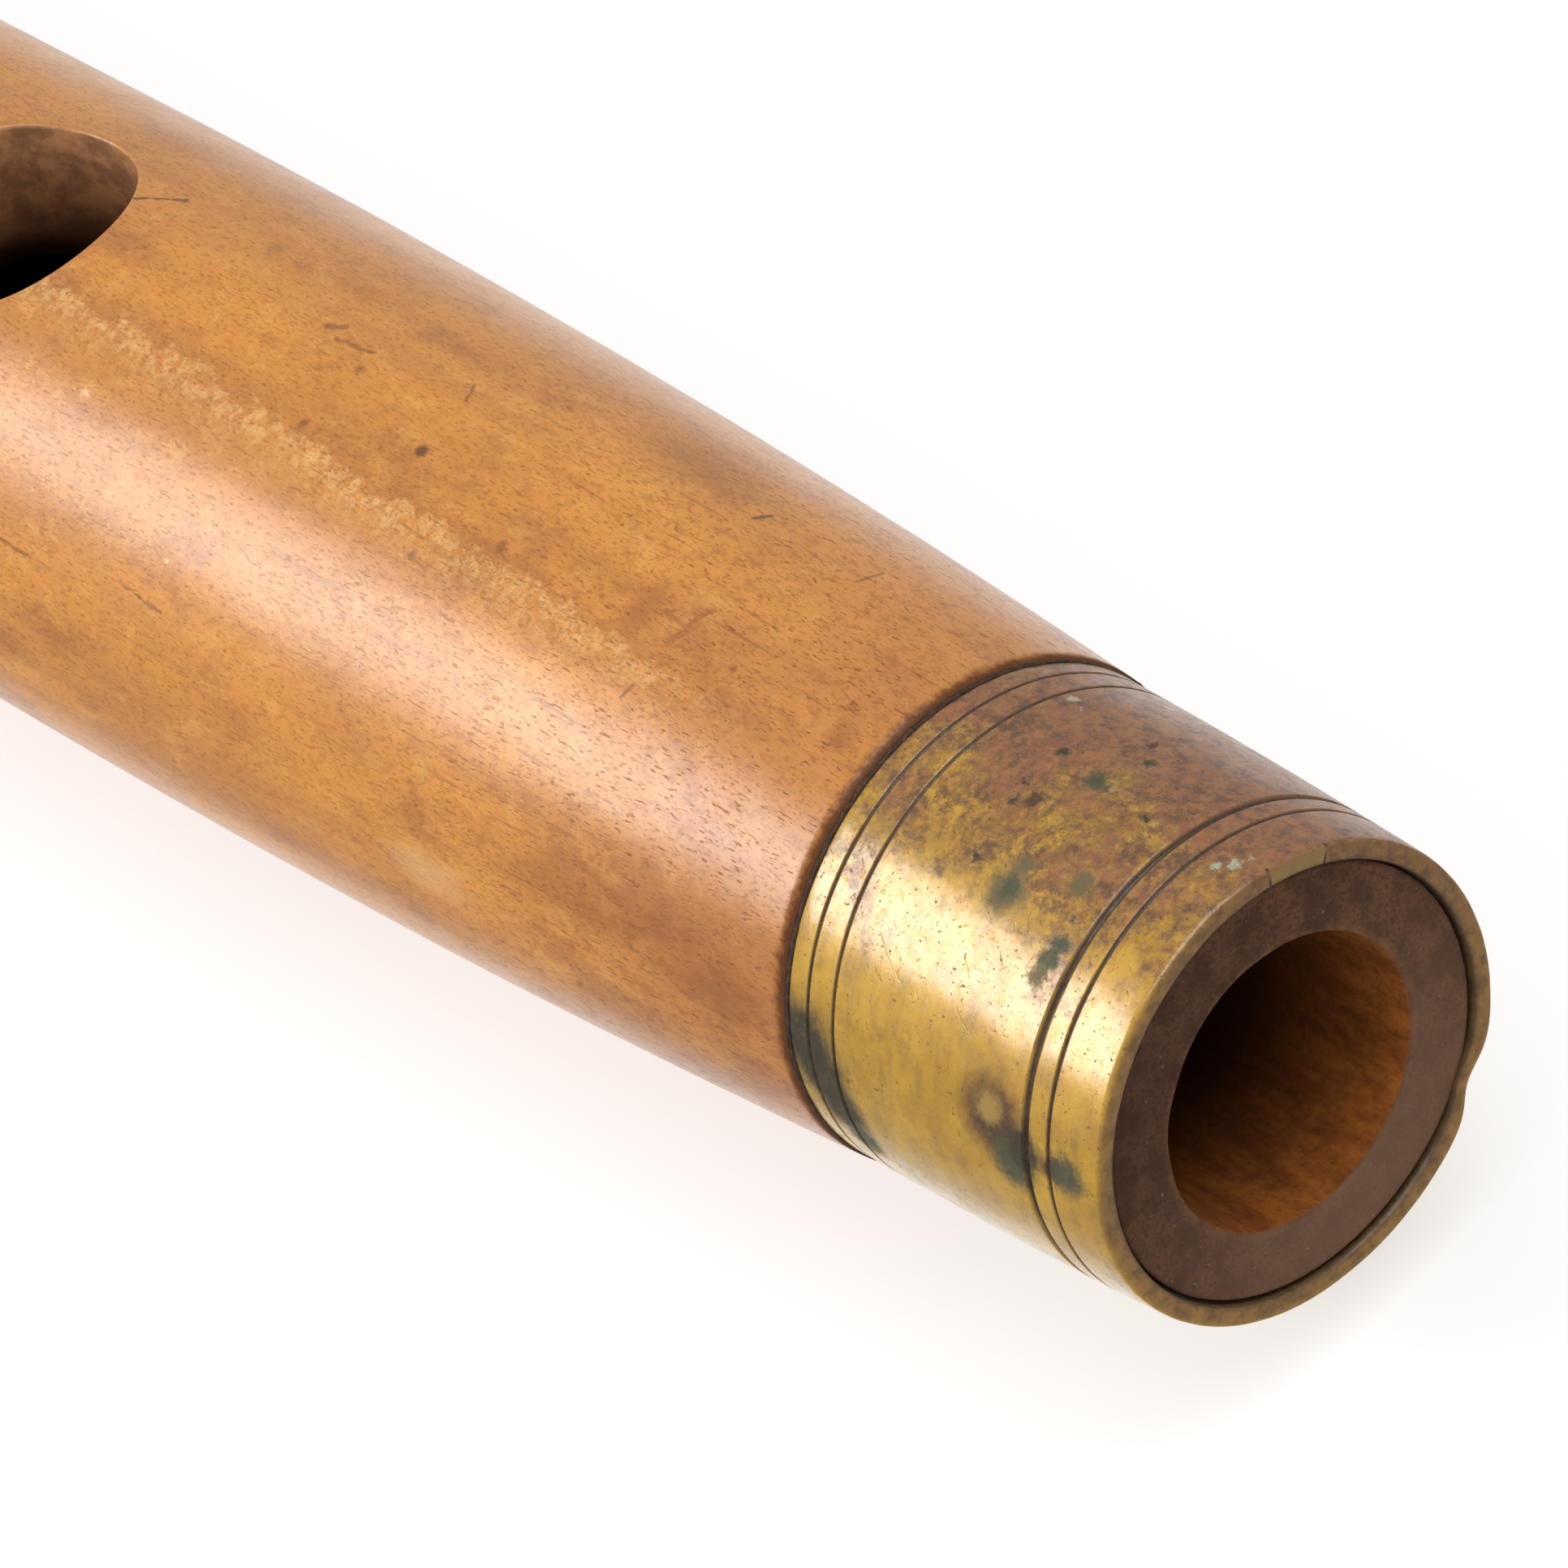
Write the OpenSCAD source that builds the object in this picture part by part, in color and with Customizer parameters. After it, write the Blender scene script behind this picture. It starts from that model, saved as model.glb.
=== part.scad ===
// Wooden fife with brass ferrules. Millimetres. The tube lies along X with its head at +X and its
// holes up, and the origin is under the middle of its length, level with the bottom of the swell.

/* [Body] */
// Length from the foot rim to the head rim
fife_len = 375; // [360:1:400]
// Radius of the barrel swell at the embouchure
swell_r = 11.65; // [11.2:0.05:12.4]
// Radius of the wood where it meets a ferrule
shoulder_r = 9.65; // [9.6:0.05:10.2]
// Radius of the tenons that carry the ferrules
tenon_r = 8.1; // [7.8:0.05:8.1]
// Depth of the end grain below each ferrule rim
end_recess = 0.2; // [0.1:0.1:0.6]

/* [Bore] */
// Radius of the sounding bore, open at the foot
bore_r = 5.35; // [5.1:0.05:5.4]
// Radius of the reamed head bore that holds the stopper
head_bore_r = 5.56; // [5.56:0.01:5.7]

/* [Embouchure] */
// Distance of the embouchure's middle from the head rim
mouth_from_head = 67.5; // [66:0.5:72]
// Length of the embouchure along the tube
mouth_len = 10.2; // [9.8:0.1:10.6]
// Width of the embouchure across the tube
mouth_wide = 9.6; // [9:0.1:9.6]

/* [Finger holes] */
// Distances of the finger holes from the foot rim, lowest note first
finger_from_foot = [50, 77, 91, 123, 144, 166];
// Diameters of the finger holes, lowest note first
finger_d = [6.4, 8.6, 7.6, 6.6, 7.8, 7.4];

/* [Ferrules] */
// Length of each ferrule
ferrule_len = 15.5; // [14.5:0.5:17]
// Inner radius
ferrule_bore_r = 8.25; // [8.2:0.05:8.3]
// Outer radius at the rim
rim_r = 9; // [8.9:0.05:9.1]
// Outer radius at the back edge
back_r = 9.55; // [9.4:0.05:9.6]
// Extra radius halfway along, which bows the outline
ferrule_bow = 0.08; // [0:0.02:0.12]
// Radius of the turning tool that cut the grooves
groove_tool_r = 0.2; // [0.15:0.01:0.25]
// Distances of the four grooves from the rim
groove_from_rim = [2.4, 3.5, 13.2, 14.5];

/* [Cement] */
// Length of the cement film under a ferrule, from its back edge
cement_len = 9; // [6:1:11]
// Thickness of the cement seam between a ferrule and the wood's shoulder
seam = 0.15; // [0.1:0.05:0.2]

/* [Stopper] */
// Length of the cork
cork_len = 20; // [16:1:22]
// Distance from the embouchure's middle to the cork's inner face
cork_from_mouth = 11; // [10.5:0.5:12]
// Running clearance around the cork
cork_gap = 0.03; // [0.02:0.01:0.06]
// Chamfer on both ends of the cork
cork_bevel = 0.6; // [0.3:0.1:1]
// Travel of the cork from its set place towards the step in the bore
cork_travel_in = 4; // [3:0.5:4]

/* [Hidden] */

$fn = 96;
wood = [0.72, 0.45, 0.22];
brass = [0.66, 0.52, 0.26];
cement = [0.14, 0.1, 0.08];
cork = [0.74, 0.57, 0.39];

// Distance that a cut runs past the face it opens
past = 1;
// Room left between the cork at the end of its travel and the step
step_gap = 0.5;
// Straight pieces along each curved stretch of an outline
curve_steps = 10;

head_x = fife_len / 2;
foot_x = -fife_len / 2;
axis_z = swell_r;
mouth_x = head_x - mouth_from_head;
cork_x = mouth_x + cork_from_mouth;
step_x = cork_x - cork_travel_in - step_gap;
head_shoulder_x = head_x - ferrule_len - seam;
foot_shoulder_x = foot_x + ferrule_len + seam;

// The swell is a parabola that has its crest at the embouchure and falls to the shoulder radius at
// the head ferrule. From tail_x a straight taper, tangent to it, runs on to the foot ferrule.
swell_run = head_shoulder_x - mouth_x;
taper_run = mouth_x - foot_shoulder_x;
tail_x = mouth_x - taper_run + sqrt(pow(taper_run, 2) - pow(swell_run, 2));
function swell_radius(x) =
    swell_r - (swell_r - shoulder_r) * pow((x - mouth_x) / swell_run, 2);

// Outer radius of a ferrule at the distance s from its rim
function ferrule_outer(s) =
    let (u = s / ferrule_len)
    rim_r + (back_r - rim_r) * u + 4 * ferrule_bow * u * (1 - u);

// Turns an outline of [place along X, radius] about the bore's axis
module turned(outline) {
    translate([0, 0, axis_z])
        rotate([90, 0, 90])
            rotate_extrude()
                polygon([for (p = outline) [p[1], p[0]]]);
}

// A round cut along the bore's axis
module axial_cut(from_x, to_x, r) {
    translate([from_x, 0, axis_z])
        rotate([0, 90, 0])
            cylinder(h = to_x - from_x, r = r);
}

// A round hole through the top wall
module top_hole(x, d) {
    translate([x, 0, axis_z])
        cylinder(h = swell_r + past, d = d);
}

// The embouchure is two round cuts side by side and the slot between them
module embouchure_cut() {
    shift = (mouth_len - mouth_wide) / 2;
    for (side = [-1, 1])
        top_hole(mouth_x + side * shift, mouth_wide);
    translate([mouth_x - shift, -mouth_wide / 2, axis_z])
        cube([2 * shift, mouth_wide, swell_r + past]);
}

module body_blank() {
    swell = [for (i = [0 : curve_steps])
        let (x = tail_x + (head_shoulder_x - tail_x) * i / curve_steps)
        [x, swell_radius(x)]];
    turned(concat(
        [
            [foot_x + end_recess, 0],
            [foot_x + end_recess, tenon_r],
            [foot_shoulder_x, tenon_r],
            [foot_shoulder_x, shoulder_r]
        ],
        swell,
        [
            [head_shoulder_x, tenon_r],
            [head_x - end_recess, tenon_r],
            [head_x - end_recess, 0]
        ]
    ));
}

module body() {
    color(wood)
        difference() {
            body_blank();
            axial_cut(foot_x - past, step_x + past, bore_r);
            axial_cut(step_x, head_x + past, head_bore_r);
            embouchure_cut();
            for (i = [0 : len(finger_from_foot) - 1])
                top_hole(foot_x + finger_from_foot[i], finger_d[i]);
        }
}

// A ferrule with its rim at rim_x; back is the direction from the rim to its back edge
module ferrule(rim_x, back) {
    outer = [for (i = [0 : curve_steps])
        let (s = ferrule_len * i / curve_steps)
        [rim_x + back * s, ferrule_outer(s)]];
    back_x = rim_x + back * ferrule_len;
    color(brass)
        difference() {
            turned(concat(outer, [[back_x, ferrule_bore_r], [rim_x, ferrule_bore_r]]));
            for (s = groove_from_rim)
                ferrule_groove(rim_x + back * s, ferrule_outer(s));
        }
}

module ferrule_groove(x, r) {
    translate([x, 0, axis_z])
        rotate([0, 90, 0])
            rotate_extrude()
                translate([r, 0])
                    circle(r = groove_tool_r, $fn = 24);
}

// The cement fills the back part of the gap under a ferrule and the seam behind its back edge
module ferrule_cement(rim_x, back) {
    film_x = rim_x + back * (ferrule_len - cement_len);
    back_x = rim_x + back * ferrule_len;
    seam_x = back_x + back * seam;
    color(cement)
        turned([
            [film_x, tenon_r],
            [film_x, ferrule_bore_r],
            [back_x, ferrule_bore_r],
            [back_x, back_r],
            [seam_x, back_r],
            [seam_x, tenon_r]
        ]);
}

module stopper_cork() {
    r = head_bore_r - cork_gap;
    outer_x = cork_x + cork_len;
    color(cork)
        turned([
            [cork_x, 0],
            [cork_x, r - cork_bevel],
            [cork_x + cork_bevel, r],
            [outer_x - cork_bevel, r],
            [outer_x, r - cork_bevel],
            [outer_x, 0]
        ]);
}

module head_ferrule() { ferrule(head_x, -1); }
module foot_ferrule() { ferrule(foot_x, 1); }
module head_cement() { ferrule_cement(head_x, -1); }
module foot_cement() { ferrule_cement(foot_x, 1); }

body();
head_ferrule();
foot_ferrule();
head_cement();
foot_cement();
stopper_cork();
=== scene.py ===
"""Looks of an old boxwood fife with brass ferrules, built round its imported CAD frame.

Shapes are worked out in millimetres and turned to metres when a mesh is made. The tube lies along X
with its head at +X. A place on the tube is given by s, its distance from the head rim, and by phi,
its angle round the bore in degrees, from 0 at the top (where the holes are) towards -Y.
"""
import math
from functools import reduce

import bmesh
import bpy
import numpy as np
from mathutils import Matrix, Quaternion, Vector, noise


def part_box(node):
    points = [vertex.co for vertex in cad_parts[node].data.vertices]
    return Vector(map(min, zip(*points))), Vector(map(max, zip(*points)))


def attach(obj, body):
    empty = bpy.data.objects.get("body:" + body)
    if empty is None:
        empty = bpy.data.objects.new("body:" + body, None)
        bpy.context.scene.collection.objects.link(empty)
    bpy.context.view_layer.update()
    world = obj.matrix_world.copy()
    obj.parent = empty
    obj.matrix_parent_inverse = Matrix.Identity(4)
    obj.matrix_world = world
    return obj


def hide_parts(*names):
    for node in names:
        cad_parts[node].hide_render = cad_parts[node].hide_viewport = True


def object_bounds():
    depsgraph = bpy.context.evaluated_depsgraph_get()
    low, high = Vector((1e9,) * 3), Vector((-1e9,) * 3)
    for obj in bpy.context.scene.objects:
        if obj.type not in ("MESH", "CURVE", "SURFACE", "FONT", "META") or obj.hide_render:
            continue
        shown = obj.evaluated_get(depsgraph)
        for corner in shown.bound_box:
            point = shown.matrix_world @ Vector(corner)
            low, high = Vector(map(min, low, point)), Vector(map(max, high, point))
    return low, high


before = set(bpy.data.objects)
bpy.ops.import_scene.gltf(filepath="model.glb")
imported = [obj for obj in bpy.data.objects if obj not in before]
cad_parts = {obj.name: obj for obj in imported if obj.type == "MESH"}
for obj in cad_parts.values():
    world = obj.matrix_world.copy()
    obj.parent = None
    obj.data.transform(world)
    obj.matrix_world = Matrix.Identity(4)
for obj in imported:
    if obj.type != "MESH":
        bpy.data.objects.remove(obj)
cad_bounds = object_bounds()
MM = 0.001

# ---------------- sizes taken from the frame, in mm


def box_mm(node):
    """Lowest and highest corner of a CAD node in millimetres."""
    low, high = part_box(node)
    return np.array(low) / MM, np.array(high) / MM


BODY_LOW, BODY_HIGH = box_mm("body")
HEAD_LOW, HEAD_HIGH = box_mm("head_ferrule")
FOOT_LOW, FOOT_HIGH = box_mm("foot_ferrule")
CEMENT_LOW, CEMENT_HIGH = box_mm("head_cement")
CORK_LOW, CORK_HIGH = box_mm("stopper_cork")

AXIS_Z = (BODY_LOW[2] + BODY_HIGH[2]) / 2
SWELL_R = AXIS_Z
HEAD_X = HEAD_HIGH[0]
FOOT_X = FOOT_LOW[0]
FERRULE_LEN = HEAD_HIGH[0] - HEAD_LOW[0]
BACK_R = (HEAD_HIGH[2] - HEAD_LOW[2]) / 2
SEAM = HEAD_LOW[0] - CEMENT_LOW[0]
CEMENT_LEN = CEMENT_HIGH[0] - HEAD_LOW[0]
END_RECESS = HEAD_X - BODY_HIGH[0]
CORK_R = (CORK_HIGH[2] - CORK_LOW[2]) / 2
HEAD_SHOULDER_X = CEMENT_LOW[0]
FOOT_SHOULDER_X = FOOT_HIGH[0] + SEAM

# Sizes that a node's box doesn't give, the same as in the CAD
RIM_R = 9.0
FERRULE_BOW = 0.08
FERRULE_BORE_R = 8.25
TENON_R = 8.1
SHOULDER_R = 9.65
BORE_R = 5.35
HEAD_BORE_R = 5.56
MOUTH_X = HEAD_X - 67.5
STEP_X = CORK_LOW[0] - 4.5
FINGERS_FROM_FOOT = (50, 77, 91, 123, 144, 166)
FINGER_D = (6.4, 8.6, 7.6, 6.6, 7.8, 7.4)
MOUTH_LEN, MOUTH_WIDE = 10.2, 9.6

# ---------------- camera


def new_object(name, data):
    made = bpy.data.objects.new(name, data)
    bpy.context.scene.collection.objects.link(made)
    return made


def place_camera():
    """Looks down the tube from beyond its head, turned about the view axis so that the tube falls
    from the upper left to the lower right."""
    azimuth, elevation, roll = math.radians(64.12), math.radians(41.17), math.radians(-24.14)
    distance, lens = 331.3, 223.6
    target = Vector((HEAD_X - 14.87, -5.78, AXIS_Z + 12.4)) * MM
    back = Vector((
        math.sin(azimuth) * math.cos(elevation),
        -math.cos(azimuth) * math.cos(elevation),
        math.sin(elevation),
    ))
    data = bpy.data.cameras.new("camera")
    data.lens = lens
    data.clip_start, data.clip_end = 0.01, 10
    camera = new_object("camera", data)
    camera.location = target + back * distance * MM
    camera.rotation_mode = "QUATERNION"
    camera.rotation_quaternion = (-back).to_track_quat("-Z", "Y") @ Quaternion((0, 0, 1), roll)
    bpy.context.scene.camera = camera


# ---------------- shader nodes


class Shader:
    """The nodes of a new material or world. Most helpers add one and return its output."""

    def __init__(self, block, surface="Principled BSDF"):
        block.use_nodes = True
        self.block, self.tree = block, block.node_tree
        self.surface = self.tree.nodes[surface]

    def put(self, socket, value):
        if isinstance(value, bpy.types.NodeSocket):
            self.tree.links.new(value, socket)
        elif isinstance(value, tuple) and len(value) == 3 and socket.type == "RGBA":
            socket.default_value = (*value, 1)
        else:
            socket.default_value = value

    def add(self, kind, settings=(), out=0, **inputs):
        """A node with its inputs by name, or by number as i0, i1 and so on."""
        node = self.tree.nodes.new(kind)
        for name, value in dict(settings).items():
            setattr(node, name, value)
        for name, value in inputs.items():
            key = int(name[1:]) if name[0] == "i" and name[1:].isdigit() else name
            self.put(node.inputs[key], value)
        return node.outputs[out]

    def math(self, operation, a, b=0.0):
        return self.add("ShaderNodeMath", {"operation": operation}, i0=a, i1=b)

    def vector_math(self, operation, a, b=(0, 0, 0), out=0):
        return self.add("ShaderNodeVectorMath", {"operation": operation}, out, i0=a, i1=b)

    def point(self, origin):
        """The place on the piece, in millimetres from origin (also in millimetres)."""
        here = self.add("ShaderNodeTexCoord", out=3)
        scaled = self.vector_math("MULTIPLY", here, (1 / MM,) * 3)
        return self.vector_math("SUBTRACT", scaled, origin)

    def stretch(self, point, along):
        """Squeezes X by the factor along, so that a pattern comes out long and narrow."""
        return self.vector_math("MULTIPLY", point, (along, 1, 1))

    def noise(self, point, size, detail=3.0, roughness=0.5):
        """A cloud pattern whose lumps are about size millimetres across."""
        return self.add(
            "ShaderNodeTexNoise", Vector=point, Scale=1 / size, Detail=detail, Roughness=roughness
        )

    def ramp(self, value, low, high):
        """0 below low, 1 above high (or the other way round), smooth between."""
        smooth = {"interpolation_type": "SMOOTHSTEP"}
        if low < high:
            return self.add("ShaderNodeMapRange", smooth, i0=value, i1=low, i2=high, i3=0.0, i4=1.0)
        return self.add("ShaderNodeMapRange", smooth, i0=value, i1=high, i2=low, i3=1.0, i4=0.0)

    def mix(self, amount, a, b):
        return self.add("ShaderNodeMix", {"data_type": "RGBA"}, out=2, i0=amount, i6=a, i7=b)

    def both(self, *masks):
        """The product of masks, or of masks and strengths."""
        return reduce(lambda a, b: self.math("MULTIPLY", a, b), masks)

    def most(self, *masks):
        """The greatest of several masks."""
        return reduce(lambda a, b: self.math("MAXIMUM", a, b), masks)

    def attribute(self, name):
        return self.add("ShaderNodeAttribute", {"attribute_name": name}, out=2)

    def split(self, point):
        """The x, y and z of a point."""
        node = self.tree.nodes.new("ShaderNodeSeparateXYZ")
        self.put(node.inputs[0], point)
        return node.outputs

    def angle(self, point):
        """phi in degrees."""
        _, y, z = self.split(point)
        across = self.math("MULTIPLY", y, -1.0)
        return self.math("MULTIPLY", self.math("ARCTAN2", across, z), 180 / math.pi)

    def along(self, point):
        """Distance from the origin towards -X."""
        return self.math("MULTIPLY", self.split(point)[0], -1.0)

    def across(self, point):
        """Distance from the bore's axis."""
        flat = self.vector_math("MULTIPLY", point, (0, 1, 1))
        return self.vector_math("LENGTH", flat, out=1)

    def ragged(self, point, size, reach):
        """The point moved about at random by up to half of reach, in lumps of the given size."""
        cloud = self.add(
            "ShaderNodeTexNoise", out=1, Vector=point, Scale=1 / size, Detail=5.0, Roughness=0.65
        )
        push = self.vector_math("SUBTRACT", cloud, (0.5,) * 3)
        return self.vector_math("ADD", point, self.vector_math("MULTIPLY", push, (2 * reach,) * 3))

    def scratches(self, point):
        """Fine straight scratches in three directions."""
        lines = []
        for turn in ((0.3, 0.2, 0.9), (1.2, 0.5, -0.6), (-0.5, 1.0, 0.3)):
            turned = self.add("ShaderNodeMapping", {"vector_type": "TEXTURE"}, i0=point, i2=turn)
            thin = self.noise(self.vector_math("MULTIPLY", turned, (0.06, 1, 0.4)), 0.16, 2)
            lines.append(self.ramp(thin, 0.70, 0.75))
        return self.most(*lines)

    def mark(self, point, place, size, soft=0.35, stretch=(1, 1, 1)):
        """A blot of radius size about place; stretch above 1 shortens it along that axis."""
        away = self.vector_math("MULTIPLY", self.vector_math("SUBTRACT", point, place), stretch)
        distance = self.vector_math("LENGTH", away, out=1)
        return self.ramp(distance, size * (1 + soft), size * (1 - soft))

    def line(self, point, start, end, width):
        """A hairline of the given width from start to end."""
        run = tuple(b - a for a, b in zip(start, end))
        length2 = sum(c * c for c in run)
        from_start = self.vector_math("SUBTRACT", point, start)
        share = self.vector_math("DOT_PRODUCT", from_start, tuple(c / length2 for c in run), 1)
        share = self.add("ShaderNodeClamp", i0=share, i1=0.0, i2=1.0)
        nearest = self.add("ShaderNodeVectorMath", {"operation": "SCALE"}, i0=run, i3=share)
        gap = self.vector_math("DISTANCE", from_start, nearest, 1)
        return self.ramp(gap, width * 0.75, width * 0.25)

    def scale(self, value, low, high, start, end):
        """A straight run from start at low to end at high, level beyond them."""
        return self.add("ShaderNodeMapRange", i0=value, i1=low, i2=high, i3=start, i4=end)

    def bump(self, height, distance, below=None):
        """Raises the surface by height (0 to 1) times distance (in mm), over the bump below."""
        inputs = {"Height": height, "Distance": distance * MM, "Strength": 1.0}
        if below is not None:
            inputs["Normal"] = below
        return self.add("ShaderNodeBump", **inputs)

    def finish(self, **inputs):
        for name, value in inputs.items():
            self.put(self.surface.inputs[name.replace("_", " ")], value)
        return self.block


def on_tube(s, phi, radius):
    """The point at s and phi, measured from the middle of the head rim."""
    turn = math.radians(phi)
    return (-s, -radius * math.sin(turn), radius * math.cos(turn))


HEAD_ORIGIN = (HEAD_X, 0, AXIS_Z)
FOOT_ORIGIN = (FOOT_X, 0, AXIS_Z)

# ---------------- materials


def boxwood():
    """Aged boxwood under a worn satin varnish, with its end grain and its bore."""
    m = Shader(bpy.data.materials.new("boxwood"))
    p = m.point(HEAD_ORIGIN)
    s, phi = m.along(p), m.angle(p)
    length = HEAD_X - FOOT_X

    # Honey wood in slow clouds, with fainter long figure and darker blotches
    clouds = m.noise(m.stretch(p, 0.4), 10, 5, 0.62)
    colour = m.mix(m.ramp(clouds, 0.34, 0.66), (0.80, 0.32, 0.042), (0.61, 0.235, 0.038))
    figure = m.noise(m.stretch(p, 0.035), 1.3, 4, 0.6)
    colour = m.mix(m.both(m.ramp(figure, 0.48, 0.72), 0.30), colour, (0.44, 0.16, 0.035))
    blotches = m.noise(m.stretch(p, 0.6), 3.0, 7, 0.72)
    colour = m.mix(m.both(m.ramp(blotches, 0.52, 0.68), 0.60), colour, (0.42, 0.145, 0.03))
    light_mottle = m.noise(m.stretch(p, 0.7), 1.2, 6, 0.75)
    colour = m.mix(m.both(m.ramp(light_mottle, 0.50, 0.70), 0.45), colour, (0.92, 0.46, 0.10))

    # Painted highlight: a pale mottled band with a sharp upper edge at the top of the light's
    # reflection, on varnish rubbed rougher there
    drift = m.math("ADD", m.math("MULTIPLY", s, 0.18), m.math("SUBTRACT", phi, 21.0))
    sway = m.noise(m.stretch(p, 0.6), 1.3, 7, 0.8)
    wander = m.math("MULTIPLY", m.math("SUBTRACT", sway, 0.5), 18)
    below = m.math("ADD", drift, wander)
    strokes = m.ramp(m.noise(m.stretch(p, 1.6), 0.55, 6, 0.8), 0.42, 0.60)
    rub_and_painted_highlight = m.both(m.ramp(below, -1.2, 0.8), m.ramp(below, 11, 1), strokes)
    rub_and_painted_highlight = m.both(rub_and_painted_highlight, m.ramp(s, 17, 30), m.ramp(s, 84, 62))
    colour = m.mix(m.both(rub_and_painted_highlight, 0.62), colour, (0.90, 0.56, 0.21))
    # A darker line along the upper edge of that painted highlight band
    edge = m.both(m.ramp(m.math("ABSOLUTE", m.math("ADD", below, 1.4)), 1.6, 0.4),
                  m.ramp(s, 17, 30), m.ramp(s, 84, 62))
    colour = m.mix(m.both(edge, 0.30), colour, (0.40, 0.14, 0.03))

    # Redder and darker where hands and the brass have stained it, next to each ferrule
    near_end = m.most(m.ramp(s, 32, 14), m.ramp(s, length - 32, length - 14))
    colour = m.mix(m.both(near_end, 0.42), colour, (0.46, 0.165, 0.045))
    stain = m.both(m.ramp(m.noise(m.stretch(p, 0.5), 1.6, 8, 0.8), 0.44, 0.60), m.ramp(phi, 44, 60),
                   m.most(m.ramp(s, 36, 24), m.ramp(s, length - 36, length - 24)))
    colour = m.mix(m.both(stain, 0.52), colour, (0.34, 0.105, 0.020))

    # Fine dark pores along the grain, mottle, a few long hairlines, and specks
    dash_patches = m.noise(m.stretch(p, 0.45), 4, 4, 0.6)
    dash_patches = m.most(m.both(m.ramp(dash_patches, 0.40, 0.62), 0.6), m.ramp(s, 52, 24))
    faint_pores = m.ramp(m.noise(m.stretch(p, 0.30), 0.10, 3, 0.6), 0.51, 0.70)
    deep_pores = m.both(m.ramp(m.noise(m.stretch(p, 0.24), 0.12, 2), 0.61, 0.70), dash_patches)
    pores = m.most(m.both(faint_pores, 0.70), deep_pores)
    colour = m.mix(m.both(pores, 0.72), colour, (0.21, 0.064, 0.016))
    mottle = m.ramp(m.noise(m.stretch(p, 0.55), 0.45, 6, 0.78), 0.48, 0.66)
    mottle_strength = m.scale(dash_patches, 0.0, 1.0, 0.20, 0.52)
    colour = m.mix(m.both(mottle, mottle_strength), colour, (0.36, 0.125, 0.026))
    hairs = m.both(m.ramp(m.noise(m.stretch(p, 0.022), 0.40, 3), 0.64, 0.71), dash_patches)
    colour = m.mix(m.both(hairs, 0.50), colour, (0.22, 0.075, 0.022))
    specks = m.ramp(m.noise(p, 0.22, 2), 0.71, 0.78)
    colour = m.mix(m.both(specks, 0.55), colour, (0.12, 0.04, 0.015))
    grub = m.math("MULTIPLY", m.math("SUBTRACT", m.noise(p, 0.5, 6, 0.75), 0.5), 0.9)
    from_end = m.math("ADD", m.math("MINIMUM", s, m.math("SUBTRACT", length, s)), grub)
    soiled = m.ramp(from_end, FERRULE_LEN + 0.85, FERRULE_LEN + 0.25)
    colour = m.mix(m.both(soiled, 0.88), colour, (0.105, 0.034, 0.013))

    # Marks of use: dark dots and short grain lines, smudges, pale nicks, a crack at the embouchure.
    # Places are (s, phi, radius)
    soft_p = m.ragged(p, 0.5, 0.22)

    def dot(place, size, soft, stretch=(1, 1, 1), point=soft_p):
        return m.mark(point, on_tube(*place), size, soft, stretch)

    def stroke(start, end, width, point=soft_p):
        return m.line(point, on_tube(*start), on_tube(*end), width)

    dark = m.most(
        dot((41.6, 3.2, 11.15), 0.27, 0.5),
        stroke((63.4, -13.4, 11.63), (62.4, -16.8, 11.63), 0.16),
        stroke((62.4, -16.8, 11.63), (61.6, -19.6, 11.62), 0.20),
        dot((61.5, -19.8, 11.6), 0.17, 0.5),
        stroke((28.8, -23.6, 10.53), (28.6, -26.8, 10.53), 0.22, p),
    )
    colour = m.mix(m.both(dark, 0.80), colour, (0.09, 0.028, 0.01))
    faint = m.most(
        dot((47.1, -5.1, 11.34), 0.21, 0.8),
        stroke((50.2, -10.0, 11.43), (49.6, -11.7, 11.41), 0.32),
        stroke((49.3, -8.3, 11.40), (47.4, -9.7, 11.35), 0.20),
        stroke((42.8, -15.5, 11.19), (42.3, -11.0, 11.17), 0.16),
        dot((38.7, 21.6, 11.03), 0.20, 0.8),
        dot((47.0, 10.2, 11.34), 0.22, 0.8),
        dot((35.4, 11.9, 10.88), 0.24, 0.8),
        dot((23.3, 9.5, 10.19), 0.16, 0.8),
        stroke((69.0, 60.0, 11.6), (63.5, 57.0, 11.6), 0.24),
        stroke((63.5, 57.0, 11.6), (57.3, 58.5, 11.6), 0.18),
        stroke((52.0, 53.5, 11.5), (49.6, 55.0, 11.4), 0.16),
        stroke((23.2, -24.1, 10.19), (23.2, -30.7, 10.19), 0.15, p),
        stroke((26.5, 22.2, 10.40), (26.7, 25.4, 10.41), 0.14, p),
    )
    colour = m.mix(m.both(faint, 0.60), colour, (0.16, 0.052, 0.016))
    smudges = m.most(
        dot((63.5, 76, 11.6), 1.1, 0.9, (0.5, 1, 1)),
        dot((59.5, 80, 11.6), 0.7, 0.9, (0.5, 1, 1)),
        dot((33.0, -30, 10.7), 1.3, 0.9, (0.5, 1, 1)),
        dot((26.0, 66, 10.3), 1.2, 0.9, (0.35, 1, 1)),
        dot((19.0, 72, 9.9), 1.0, 0.9, (0.35, 1, 1)),
        dot((17.6, 9.3, 9.8), 0.55, 0.8),
        stroke((27.4, 6.3, 10.45), (25.9, 6.8, 10.36), 0.26),
        stroke((26.4, 11.3, 10.39), (25.9, 6.4, 10.37), 0.34),
        stroke((26.2, 5.4, 10.38), (25.9, 1.3, 10.36), 0.26),
        dot((28.3, 8.6, 10.5), 0.50, 0.8, (0.8, 0.45, 1)),
        dot((22.6, 62.6, 10.15), 1.0, 0.9, (0.35, 1, 1)),
        dot((66.0, 100, 11.6), 1.4, 0.9, (0.4, 1, 1)),
    )
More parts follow.
